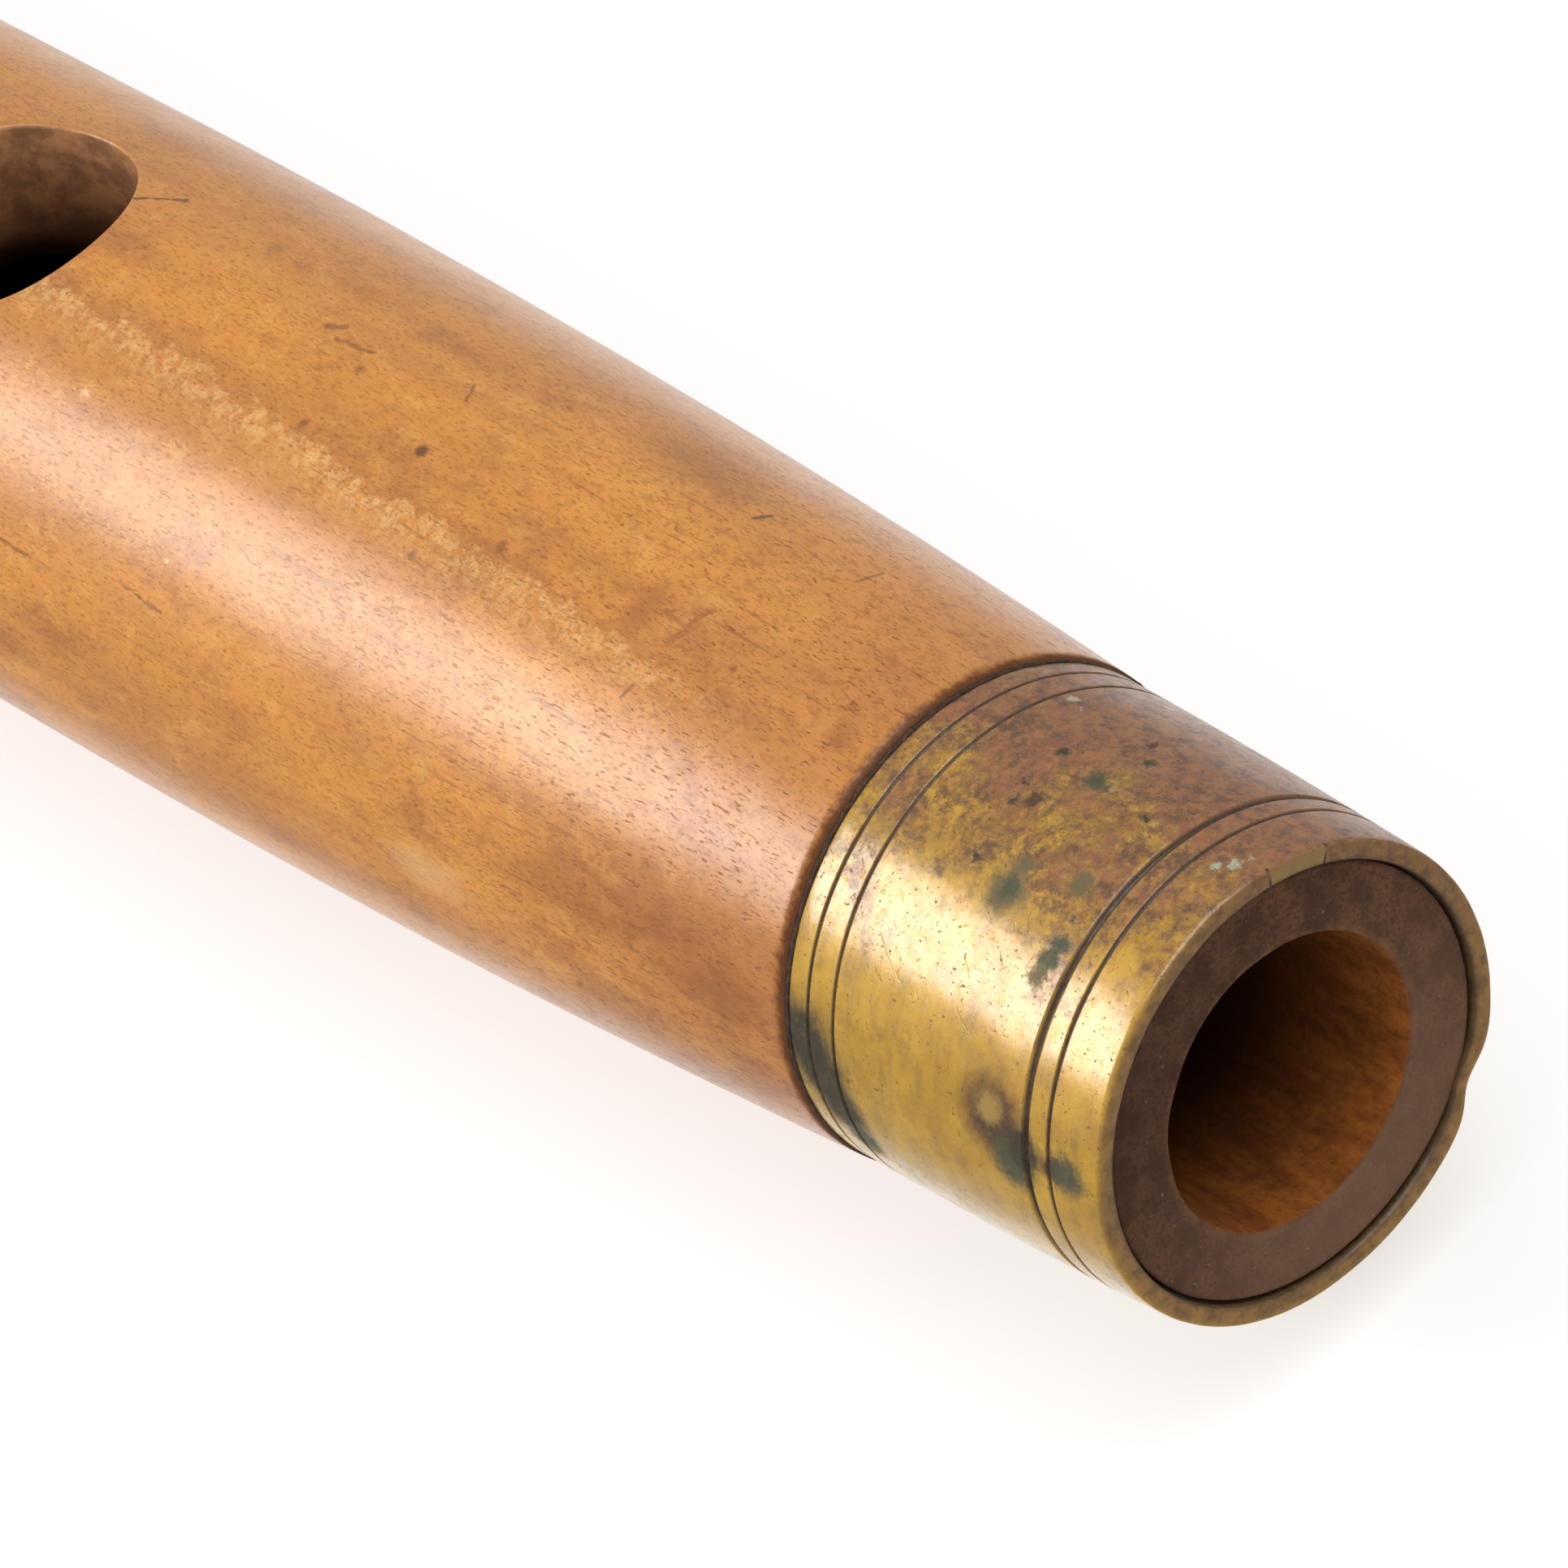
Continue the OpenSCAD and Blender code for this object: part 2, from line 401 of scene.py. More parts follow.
    colour = m.mix(m.both(smudges, 0.50), colour, (0.30, 0.095, 0.022))
    pale = m.most(
        dot((57.2, 25.4, 11.57), 0.26, 0.7, (1, 2, 2)),
        dot((49.8, 45.3, 11.4), 0.09, 0.5, point=p),
        dot((39.3, 41.8, 11.05), 0.07, 0.5, point=p),
        m.both(dot((34.6, 80.5, 10.8), 0.8, 0.9, (0.45, 1, 1)), 0.45),
    )
    colour = m.mix(m.both(pale, 0.7), colour, (0.88, 0.62, 0.32))

    # End grain: faint turning rings, with a lighter ring at the edge of the bore
    radius = m.across(p)
    wobble = m.math("MULTIPLY", m.noise(p, 2.0, 4), 0.9)
    rings = m.math("SINE", m.math("MULTIPLY", m.math("ADD", radius, wobble), 24))
    coarse = m.noise(p, 1.4, 5, 0.65)
    end_colour = m.mix(m.ramp(coarse, 0.38, 0.60), (0.072, 0.026, 0.010), (0.122, 0.052, 0.021))
    end_colour = m.mix(m.both(m.ramp(rings, 0, 1), 0.14), end_colour, (0.055, 0.023, 0.014))
    grit = m.noise(p, 0.14, 3)
    end_colour = m.mix(m.both(m.ramp(grit, 0.50, 0.64), 0.65), end_colour, (0.04, 0.018, 0.011))
    chalk = m.ramp(m.noise(p, 0.22, 2), 0.70, 0.76)
    end_colour = m.mix(m.both(chalk, 0.5), end_colour, (0.40, 0.27, 0.17))
    bore_ring = m.both(m.ramp(radius, 5.95, 5.65), m.ramp(coarse, 0.35, 0.6), 0.6)
    end_colour = m.mix(bore_ring, end_colour, (0.19, 0.08, 0.032))
    # Painted light on the lower side of the end face, and painted shade on its upper side
    painted_light_low_side = m.mark(p, on_tube(0, -165, 8), 8, 1.0)
    end_colour = m.mix(m.both(painted_light_low_side, 0.60), end_colour, (0.21, 0.115, 0.068))
    shaded_side = m.mark(p, on_tube(0, 50, 8), 6, 1.0)
    end_colour = m.mix(m.both(shaded_side, 0.45), end_colour, (0.038, 0.014, 0.006))
    end_grain, inside = m.attribute("end_grain"), m.attribute("inside")
    bare = m.math("ADD", end_grain, inside)
    bore_mouth = m.both(m.ramp(inside, 0.02, 0.10), m.ramp(from_end, 6, 3))
    colour = m.mix(m.most(end_grain, bore_mouth), colour, end_colour)

    # The holes' walls are grimy at the top; the bore is oiled and warm at its head end, and painted
    # shade darkens it further in and down the holes' walls
    grime = m.ramp(m.noise(p, 1.6, 5, 0.7), 0.38, 0.62)
    grubby = m.mix(grime, (0.67, 0.333, 0.150), (0.34, 0.168, 0.086))
    colour = m.mix(m.both(m.ramp(inside, 0.06, 0.26), m.ramp(from_end, 3, 6)), colour, grubby)
    bore_streaks = m.noise(m.stretch(p, 0.25), 0.9, 6, 0.7)
    warm = m.mix(m.ramp(bore_streaks, 0.35, 0.65), (0.42, 0.138, 0.023), (0.22, 0.066, 0.012))
    # deep is the bore's colour in painted shade, away from the head end and low in the holes
    deep = m.mix(m.ramp(clouds, 0.35, 0.65), (0.090, 0.028, 0.006), (0.045, 0.014, 0.003))
    bore_dust = m.ramp(m.noise(p, 0.5, 6, 0.8), 0.44, 0.62)
    warm = m.mix(m.both(bore_dust, 0.45), warm, (0.10, 0.030, 0.007))
    colour = m.mix(m.ramp(inside, 0.45, 1.0), colour, m.mix(m.ramp(s, 0.5, 9.5), warm, deep))

    worn = m.ramp(m.noise(p, 2.2, 6, 0.72), 0.35, 0.75)
    varnish = m.both(m.math("SUBTRACT", 1.0, m.most(bare, soiled)), 0.98)
    patchy = m.scale(m.noise(m.stretch(p, 0.7), 1.1, 8, 0.82), 0.35, 0.62, 1.0, 0.80)
    open_grain = m.math("SUBTRACT", 1.0, m.both(m.most(pores, m.both(mottle, 0.25)), 0.65))
    varnish = m.both(varnish, patchy, open_grain)
    dull = m.most(m.both(worn, 0.30), m.both(rub_and_painted_highlight, 0.35), bare)
    roughness = m.scale(dull, 0.0, 1.0, 0.31, 0.75)
    relief = m.bump(m.noise(m.stretch(p, 0.5), 0.7, 4, 0.6), 0.007)
    relief = m.bump(m.noise(p, 3.0, 2), 0.03, relief)
    relief = m.bump(m.noise(m.stretch(p, 0.6), 0.20, 4, 0.6), 0.0048, relief)
    relief = m.bump(m.most(deep_pores, specks, dark), -0.005, relief)
    relief = m.bump(m.scratches(p), -0.003, relief)
    end_relief = m.math("ADD", m.both(rings, 0.5), m.both(grit, 2))
    relief = m.bump(m.both(end_relief, end_grain), 0.008, relief)
    return m.finish(
        Base_Color=colour, Roughness=roughness, Normal=relief, IOR=1.3,
        Coat_Weight=varnish, Coat_Roughness=0.28, Coat_IOR=1.73, Coat_Normal=relief,
    )


def aged_brass(name, origin, marks, ticks):
    """Worn brass: gold where it is rubbed, red-brown tarnish on top, black dirt in the grooves.
    marks are (s, phi, radius of the blot, kind), with the kinds in tones. ticks are the angles of
    the fine cuts across the rim at both ends of a let-in piece."""
    m = Shader(bpy.data.materials.new(name))
    p = m.point(origin)
    phi = m.angle(p)
    torn = m.ragged(m.ragged(p, 0.8, 0.35), 0.22, 0.40)

    gold_tone = m.noise(p, 2.4, 6, 0.68)
    colour = m.mix(m.ramp(gold_tone, 0.35, 0.65), (0.69, 0.393, 0.024), (0.52, 0.277, 0.013))
    handled = m.noise(m.stretch(p, 5), 2.6, 5, 0.7)
    colour = m.mix(m.both(m.ramp(handled, 0.48, 0.68), 0.45), colour, (0.30, 0.165, 0.030))
    smoky = m.ramp(m.noise(p, 1.3, 6, 0.7), 0.52, 0.70)
    colour = m.mix(m.both(smoky, 0.35), colour, (0.20, 0.115, 0.030))

    # Tarnish lies on top, where the brass is never wiped by the hand, and breaks up down the sides
    cover = m.noise(p, 3.0, 8, 0.78)
    from_top = m.math("ABSOLUTE", m.math("ADD", phi, 38))
    thinning = m.math("SUBTRACT", m.math("MULTIPLY", from_top, 0.0054), 0.275)
    reach = m.math("SUBTRACT", cover, thinning)
    fine = m.noise(p, 0.55, 7, 0.8)
    veil = m.ramp(reach, 0.36, 0.52)
    colour = m.mix(m.both(veil, m.ramp(fine, 0.36, 0.54), 0.85), colour, (0.22, 0.092, 0.014))
    tarnish = m.ramp(reach, 0.48, 0.66)
    tarnish_tone = m.mix(m.ramp(fine, 0.40, 0.60), (0.34, 0.130, 0.044), (0.23, 0.088, 0.034))
    colour = m.mix(m.both(tarnish, 0.92), colour, tarnish_tone)
    clumps = m.ramp(m.noise(p, 1.1, 7, 0.78), 0.49, 0.62)
    colour = m.mix(m.both(clumps, veil, 0.75), colour, (0.105, 0.052, 0.022))
    flecks = m.both(m.ramp(m.noise(p, 0.35, 6, 0.8), 0.50, 0.62), veil, m.ramp(reach, 0.72, 0.52))
    colour = m.mix(m.both(flecks, 0.75), colour, (0.42, 0.205, 0.028))

    # Pits and freckles
    pits = m.most(m.ramp(m.noise(p, 0.24, 2), 0.67, 0.75), m.ramp(m.noise(p, 0.13, 2), 0.66, 0.74))
    colour = m.mix(m.both(pits, 0.7), colour, (0.07, 0.035, 0.018))
    scratches = m.scratches(p)
    colour = m.mix(m.both(scratches, 0.35), colour, (0.20, 0.11, 0.030))
    freckles = m.ramp(m.noise(p, 0.7, 6, 0.75), 0.62, 0.72)
    colour = m.mix(m.both(freckles, 0.6), colour, (0.11, 0.055, 0.022))

    tones = {
        "black": (0.052, 0.042, 0.022),
        "green": (0.078, 0.080, 0.040),
        "pale": (0.45, 0.47, 0.33),
        "brown": (0.090, 0.042, 0.020),
        "gold": (0.36, 0.23, 0.05),
        "haze": (0.155, 0.118, 0.050),
    }
    crust = m.both(pits, 0.6)
    crumbs = m.ramp(m.noise(p, 0.30, 5, 0.75), 0.34, 0.56)
    for s, angle, size, kind in marks:
        blot = m.mark(torn, on_tube(s, angle, RIM_R + 0.035 * s), size, 0.50)
        if kind in ("black", "green", "brown", "haze"):
            blot = m.both(blot, m.scale(crumbs, 0.0, 1.0, 0.88, 1.0))
            crust = m.most(crust, blot)
        colour = m.mix(blot, colour, tones[kind])

    # A brown rim with a brighter let-in piece, and dirt in the grooves and cuts
    rim = m.attribute("rim")
    rim_clouds = m.ramp(m.noise(p, 0.6, 6, 0.7), 0.35, 0.7)
    rim_tone = m.mix(rim_clouds, (0.30, 0.143, 0.029), (0.115, 0.053, 0.016))
    let_in_half = RIM_R * math.radians(abs(ticks[0] - ticks[1])) / 2
    let_in = m.mark(p, on_tube(0, sum(ticks) / 2, RIM_R - 0.4), let_in_half, 0.05)
    rim_tone = m.mix(m.both(let_in, 0.7), rim_tone, (0.34, 0.205, 0.045))
    colour = m.mix(m.both(rim, 0.9), colour, rim_tone)
    cut = m.most(*(
        m.line(p, on_tube(0, angle, FERRULE_BORE_R), on_tube(0.1, angle, RIM_R), 0.14)
        for angle in ticks
    ))
    grime = m.most(m.attribute("grime"), cut)
    grime_tone = m.mix(m.ramp(fine, 0.40, 0.62), (0.040, 0.022, 0.010), (0.105, 0.060, 0.026))
    colour = m.mix(m.both(grime, 0.95), colour, grime_tone)

    dirt = m.most(m.both(tarnish, 0.55), m.both(veil, 0.42), grime, m.both(rim, 0.6),
                  m.both(freckles, 0.7), m.both(clumps, veil, 0.6), crust)
    dirt = m.math("SUBTRACT", dirt, m.both(flecks, 0.35))
    wear = m.ramp(m.noise(p, 0.8, 7, 0.78), 0.35, 0.7)
    roughness = m.scale(dirt, 0.0, 1.0, 0.22, 0.64)
    roughness = m.math("ADD", roughness, m.both(wear, 0.14))
    metal = m.scale(dirt, 0.1, 1.0, 0.15, 0.08)
    film = m.scale(dirt, 0.0, 1.0, 1.0, 0.32)
    spotty = m.ramp(m.noise(p, 0.45, 7, 0.8), 0.50, 0.62)
    dull_film = m.most(crust, pits, m.both(spotty, 0.8), m.both(scratches, 0.7), m.both(wear, 0.4))
    film = m.both(film, m.math("SUBTRACT", 1.0, m.both(dull_film, 0.85)))
    turning = m.noise(m.stretch(p, 22), 3.0, 3)
    relief = m.bump(turning, 0.0022)
    relief = m.bump(m.noise(p, 2.2, 3), 0.028, relief)
    relief = m.bump(m.noise(p, 0.35, 3), 0.0035, relief)
    relief = m.bump(scratches, -0.004, relief)
    relief = m.bump(m.most(crust, m.both(freckles, 0.4)), -0.006, relief)
    return m.finish(
        Base_Color=colour, Roughness=roughness, Metallic=metal, Normal=relief,
        Coat_Weight=film, Coat_Roughness=0.20, Coat_IOR=1.86, Coat_Normal=relief,
        Sheen_Weight=0.12, Sheen_Roughness=0.28, Sheen_Tint=(1, 0.95, 0.8),
    )


def dark_cement():
    """Old pitch or shellac cement: dark brown, crusty, with dusty crumbs."""
    m = Shader(bpy.data.materials.new("dark_cement"))
    p = m.point(HEAD_ORIGIN)
    crumbs = m.noise(p, 0.25, 5, 0.75)
    colour = m.mix(m.ramp(crumbs, 0.42, 0.70), (0.030, 0.014, 0.008), (0.115, 0.055, 0.026))
    roughness = m.scale(crumbs, 0.3, 0.7, 0.55, 0.9)
    relief = m.bump(crumbs, 0.05)
    return m.finish(Base_Color=colour, Roughness=roughness, Normal=relief)


def cork():
    """Natural cork: warm tan, with dark lenticels and fine pores."""
    m = Shader(bpy.data.materials.new("cork"))
    p = m.point(HEAD_ORIGIN)
    clouds = m.noise(p, 2.5, 5, 0.65)
    colour = m.mix(m.ramp(clouds, 0.35, 0.68), (0.50, 0.30, 0.15), (0.36, 0.195, 0.09))
    cells = m.add("ShaderNodeTexVoronoi", Vector=m.stretch(p, 0.55), Scale=1.6)
    lenticels = m.both(m.ramp(cells, 0.28, 0.12), m.ramp(m.noise(p, 1.4, 3), 0.42, 0.6))
    colour = m.mix(m.both(lenticels, 0.85), colour, (0.10, 0.045, 0.02))
    pores = m.ramp(m.noise(p, 0.28, 3), 0.58, 0.68)
    colour = m.mix(m.both(pores, 0.5), colour, (0.20, 0.10, 0.05))
    relief = m.bump(m.most(lenticels, m.both(pores, 0.4)), -0.12)
    return m.finish(Base_Color=colour, Roughness=0.85, Normal=relief)


def pale_floor():
    """A grey floor that glows a little, which keeps the shadow on it faint."""
    m = Shader(bpy.data.materials.new("pale_floor"))
    p = m.point((0, 0, 0))
    colour = m.mix(m.noise(p, 60, 3), (0.46, 0.47, 0.48), (0.49, 0.50, 0.51))
    return m.finish(
        Base_Color=colour, Roughness=0.8, Emission_Color=(0.985, 0.99, 1), Emission_Strength=0.62
    )


# ---------------- meshes


class Build:
    """Collects the points and faces of one mesh, with values from 0 to 1 on the points."""

    def __init__(self, *values):
        self.points, self.faces = [], []
        self.values = {name: [] for name in values}

    def ring(self, points, **values):
        """Adds points and returns their numbers."""
        first = len(self.points)
        self.points.extend(points)
        for name, kept in self.values.items():
            kept.extend([values.get(name, 0.0)] * len(points))
        return list(range(first, len(self.points)))

    def bridge(self, a, b):
        """Quads between two closed rings of the same length."""
        for k in range(len(a)):
            n = (k + 1) % len(a)
            self.faces.append((a[k], a[n], b[n], b[k]))

    def bridge_all(self, rings):
        """Quads between each ring and the next."""
        for a, b in zip(rings, rings[1:]):
            self.bridge(a, b)

    def bridge_half(self, fine, coarse):
        """Joins a closed ring to one with half as many points."""
        for k in range(len(coarse)):
            n = (k + 1) % len(coarse)
            a, b, c = fine[2 * k], fine[2 * k + 1], fine[2 * n]
            self.faces.append((a, b, coarse[k]))
            self.faces.append((b, c, coarse[n], coarse[k]))

    def piece(self, name, material, body, slot, *nodes):
        """Makes the object, gives it its material and ties it to the frame."""
        mesh = bpy.data.meshes.new(name)
        mesh.from_pydata([tuple(c * MM for c in q) for q in self.points], [], self.faces)
        for value_name, kept in self.values.items():
            layer = mesh.attributes.new(value_name, "FLOAT", "POINT")
            layer.data.foreach_set("value", kept)
        face_outwards(mesh)
        mesh.shade_smooth()
        mesh.materials.append(material)
        made = new_object(name, mesh)
        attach(made, body)
        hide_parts(*nodes)
        return made


def face_outwards(mesh):
    """Turns every face of a closed mesh to look outwards."""
    work = bmesh.new()
    work.from_mesh(mesh)
    bmesh.ops.recalc_face_normals(work, faces=work.faces)
    work.to_mesh(mesh)
    work.free()


def around(x, r, turn):
    """The point at x, at radius r and angle turn (phi in radians) from the bore's axis."""
    return (x, -r * math.sin(turn), AXIS_Z + r * math.cos(turn))


def circle(x, radii, n):
    """n points round the bore's axis at x. radii is one radius, or a function of phi in degrees."""
    points = []
    for k in range(n):
        phi = 360 * k / n
        r = radii(phi) if callable(radii) else radii
        points.append(around(x, r, math.radians(phi)))
    return points


def cuts(edges, step):
    """Places from the first edge to the last, in equal parts no longer than step between edges."""
    places = [edges[0]]
    for a, b in zip(edges, edges[1:]):
        parts = max(1, math.ceil((b - a) / step - 1e-6))
        places += [a + (b - a) * k / parts for k in range(1, parts + 1)]
    return places


# ---------------- the wooden body

# The tenon's end, which shows inside the rim, and the worn edge of the bore
LOOSE_TENON_R = 8.12
BORE_EDGE = 0.16
# Where each end, head 1 and foot -1, is out of round: (phi, width in degrees, height)
OUT_OF_ROUND = {1: (-128, 38, 0.27), -1: (80, 40, 0.10)}
# How far from the rim the dents and the swelling fade, and how far off centre the tenon's end sits
RIM_REACH = 2.2
TENON_SHIFT, SHIFT_ANGLE = 0.11, math.radians(20)
# The rounding of a hole's outer edge, and where the top of its wall starts on the grading from
# grime into painted shade, against 1 in the bore
HOLE_EDGE, WALL_DARK = 0.22, 0.3
# Points round the outside and round the bore, and half of those that a hole's window takes up
OUTER_POINTS, OUTER_HALF = 168, 15
INNER_POINTS, INNER_HALF = OUTER_POINTS // 2, 17
# Rows along a window, and how far it reaches past its hole outside and in the bore
FINGER_ROWS, MOUTH_ROWS = 24, 34
OUTER_MARGIN, INNER_MARGIN = 1.9, 1.3
# Row spacing: outside, outside between the embouchure and the head, in the bore, in the head's bore
COARSE_STEP, FINE_STEP, BORE_STEP, HEAD_BORE_STEP = 2.2, 0.55, 4.0, 2.0
SWELL_RUN = HEAD_SHOULDER_X - MOUTH_X
TAPER_RUN = MOUTH_X - FOOT_SHOULDER_X
TAIL_X = MOUTH_X - TAPER_RUN + math.sqrt(TAPER_RUN**2 - SWELL_RUN**2)


def swell(x):
    """Outer radius: a parabola about the embouchure, then a straight taper to the foot."""
    if x >= TAIL_X:
        return SWELL_R - (SWELL_R - SHOULDER_R) * ((x - MOUTH_X) / SWELL_RUN) ** 2
    tail_r = SWELL_R - (SWELL_R - SHOULDER_R) * ((TAIL_X - MOUTH_X) / SWELL_RUN) ** 2
    return SHOULDER_R + (tail_r - SHOULDER_R) * (x - FOOT_SHOULDER_X) / (TAIL_X - FOOT_SHOULDER_X)


def wood_surface(x, phi):
    """The outer surface with the slight unevenness of hand turning and of wear."""
    turn = math.radians(phi)
    r = swell(x)
    place = Vector((x * 0.04, r * math.sin(turn) * 0.16, r * math.cos(turn) * 0.16))
    uneven = 0.035 * noise.noise(place) + 0.012 * noise.noise(place * 4)
    r += uneven - 0.02
    return around(x, r, turn)


def bore_radius(x):
    return HEAD_BORE_R if x >= STEP_X else BORE_R


def bore_surface(x, phi):
    return around(x, bore_radius(x), math.radians(phi))


def holes():
    """(x, half length, half width) of each hole in the top of the tube, from the foot."""
    fingers = [(FOOT_X + d, w / 2, w / 2) for d, w in zip(FINGERS_FROM_FOOT, FINGER_D)]
    return fingers + [(MOUTH_X, MOUTH_LEN / 2, MOUTH_WIDE / 2)]


def window(first, last, half):
    """(row, column) of the grid points round a window, from the middle of its last row."""
    up = list(range(0, half + 1))
    along = list(range(last - 1, first - 1, -1))
    down = list(range(half - 1, -half - 1, -1))
    back = list(range(first + 1, last + 1))
    corner = [(last, j) for j in up] + [(i, half) for i in along] + [(first, j) for j in down]
    corner += [(i, -half) for i in back] + [(last, j) for j in range(-half + 1, 0)]
    return corner


def tube_skin(build, surface, n, half, windows, margin, cells, stretches, value):
    """A grid of points round the tube with a rectangular window at each hole. Returns its rows and,
    for each hole, the window's border as point numbers and as (x, phi)."""
    places, spans = [stretches[0][0]], []
    for (x, length, _), count in zip(windows, cells):
        start, end = x - length - margin, x + length + margin
        places += stretch_places(places[-1], start, stretches)
        first = len(places) - 1
        places += [start + (end - start) * k / count for k in range(1, count + 1)]
        spans.append((first, len(places) - 1))
    places += stretch_places(places[-1], stretches[-1][1], stretches)
    rows = [build.ring([surface(x, 360 * j / n) for j in range(n)], **value) for x in places]
    for i in range(len(rows) - 1):
        span = next((s for s in spans if s[0] <= i < s[1]), None)
        for j in range(n):
            k = (j + 1) % n
            from_top = j if j < n / 2 else j - n
            if span and -half <= from_top < half:
                continue
            build.faces.append((rows[i][j], rows[i][k], rows[i + 1][k], rows[i + 1][j]))
    borders = []
    for first, last in spans:
        corner = window(first, last, half)
        numbers = [rows[i][j % n] for i, j in corner]
        borders.append((numbers, [(places[i], 360 * j / n) for i, j in corner]))
    return rows, borders


def stretch_places(start, end, stretches):
    """Places after start up to end, spaced by the step of the stretch that they lie in."""
    inner = [a for a, _, _ in stretches if start < a < end]
    places = []
    for a, b in zip([start] + inner, inner + [end]):
        step = next(step for low, high, step in stretches if low <= (a + b) / 2 <= high)
        places += cuts([a, b], step)[1:]
    return places


def rim_point(hole, k, count, grow):
    """(x, y) of point k of count round a hole, its outline grown by grow."""
    x, length, width = hole
    turn = 2 * math.pi * k / count
    return x + (length + grow) * math.cos(turn), -(width + grow) * math.sin(turn)


def cut_hole(build, hole, outer_border, inner_border):
    """Fills both windows of one hole with rings that run from the square border to the round edge,
    and joins them by the hole's wall. The outer edge is rounded, the inner one is sharp."""
    last, outer_params = outer_border
    inner_numbers, inner_params = inner_border
    count = len(last)

    def outline(grow):
        return [rim_point(hole, k, count, grow) for k in range(count)]

    def partway(border, edge, t, surface):
        return [
            surface(x0 + (x1 - x0) * t, phi0 + (phi1 - phi0) * t)
            for (x0, phi0), (x1, phi1) in zip(border, edge)
        ]

    def add_ring(points, **values):
        nonlocal last
        ring = build.ring(points, **values)
        build.bridge(last, ring)
        last = ring

    top = [(x, math.degrees(math.asin(-y / swell(x)))) for x, y in outline(HOLE_EDGE)]
    for t in (0.22, 0.42, 0.6, 0.75, 0.87, 0.95, 1.0):
        add_ring(partway(outer_params, top, t, wood_surface))
    for q in (30, 60, 90):
        grow = HOLE_EDGE * (1 - math.sin(math.radians(q)))
        drop = HOLE_EDGE * (1 - math.cos(math.radians(q)))
        rounded = [
            (x, y, AXIS_Z + math.sqrt(swell(x) ** 2 - y * y) - drop) for x, y in outline(grow)
        ]
        add_ring(rounded, inside=WALL_DARK * q / 90)
    for t in (0.2, 0.4, 0.6, 0.8, 1.0):
        wall = []
        for x, y in outline(0):
            high = math.sqrt(swell(x) ** 2 - y * y) - HOLE_EDGE
            low = math.sqrt(bore_radius(x) ** 2 - y * y)
            wall.append((x, y, AXIS_Z + high + (low - high) * t))
        add_ring(wall, inside=WALL_DARK + (1 - WALL_DARK) * t)
    bottom = [(x, math.degrees(math.asin(-y / bore_radius(x)))) for x, y in outline(0)]
    for t in (0.75, 0.5, 0.25):
        add_ring(partway(inner_params, bottom, t, bore_surface), inside=1.0)
    build.bridge(last, inner_numbers)


def wood_end(build, rim_x, out):
    """End face of one tenon. out is +1 at the head and -1 at the foot. Returns its outermost ring,
    on the tenon, and its innermost one, in the bore."""
    face_x = rim_x - out * END_RECESS
    bore = bore_radius(rim_x)
    lean_y, lean_z = -TENON_SHIFT * math.sin(SHIFT_ANGLE), TENON_SHIFT * math.cos(SHIFT_ANGLE)
    swell_at, swell_wide, swell_high = OUT_OF_ROUND[out]

    def swollen(radius, high):
        return lambda phi: radius + 0.9 * high * bump_at(phi, swell_at, swell_wide)

    def shifted(points, fade=1.0):
        return [(x, y + lean_y * fade, z + lean_z * fade) for x, y, z in points]

    rings = []
    for depth in (5.0, 2.5, 1.2, 0.4, 0.1):
        side = swollen(LOOSE_TENON_R, swell_high * math.exp(-((depth / RIM_REACH) ** 2)))
        ring = shifted(circle(face_x - out * depth, side, INNER_POINTS))
        rings.append(build.ring(ring, end_grain=1.0))
    facing = 14
    for k in range(facing + 1):
        share = k / facing
        r = LOOSE_TENON_R - 0.04 - (LOOSE_TENON_R - 0.04 - bore - BORE_EDGE) * share
        ripple = 0.012 * math.sin(k * 2.4)
        points = circle(face_x + out * (ripple - 0.012), swollen(r, swell_high * (1 - share)),
                        INNER_POINTS)
        rings.append(build.ring(shifted(points, 1 - share), end_grain=1.0))
    for q in (30, 60, 90):
        turn = math.radians(q)

        def worn(phi):
            edge = BORE_EDGE + 0.06 * math.sin(math.radians(3 * phi + 50))
            edge += 0.05 * math.sin(math.radians(7 * phi)) + 0.03 * math.sin(math.radians(13 * phi))
            return bore + edge * (1 - math.sin(turn))

        back = face_x - out * BORE_EDGE * (1 - math.cos(turn))
        rings.append(build.ring(circle(back, worn, INNER_POINTS), end_grain=(90 - q) / 90,
                                inside=q / 90))
    build.bridge_all(rings)
    return rings[0], rings[-1]


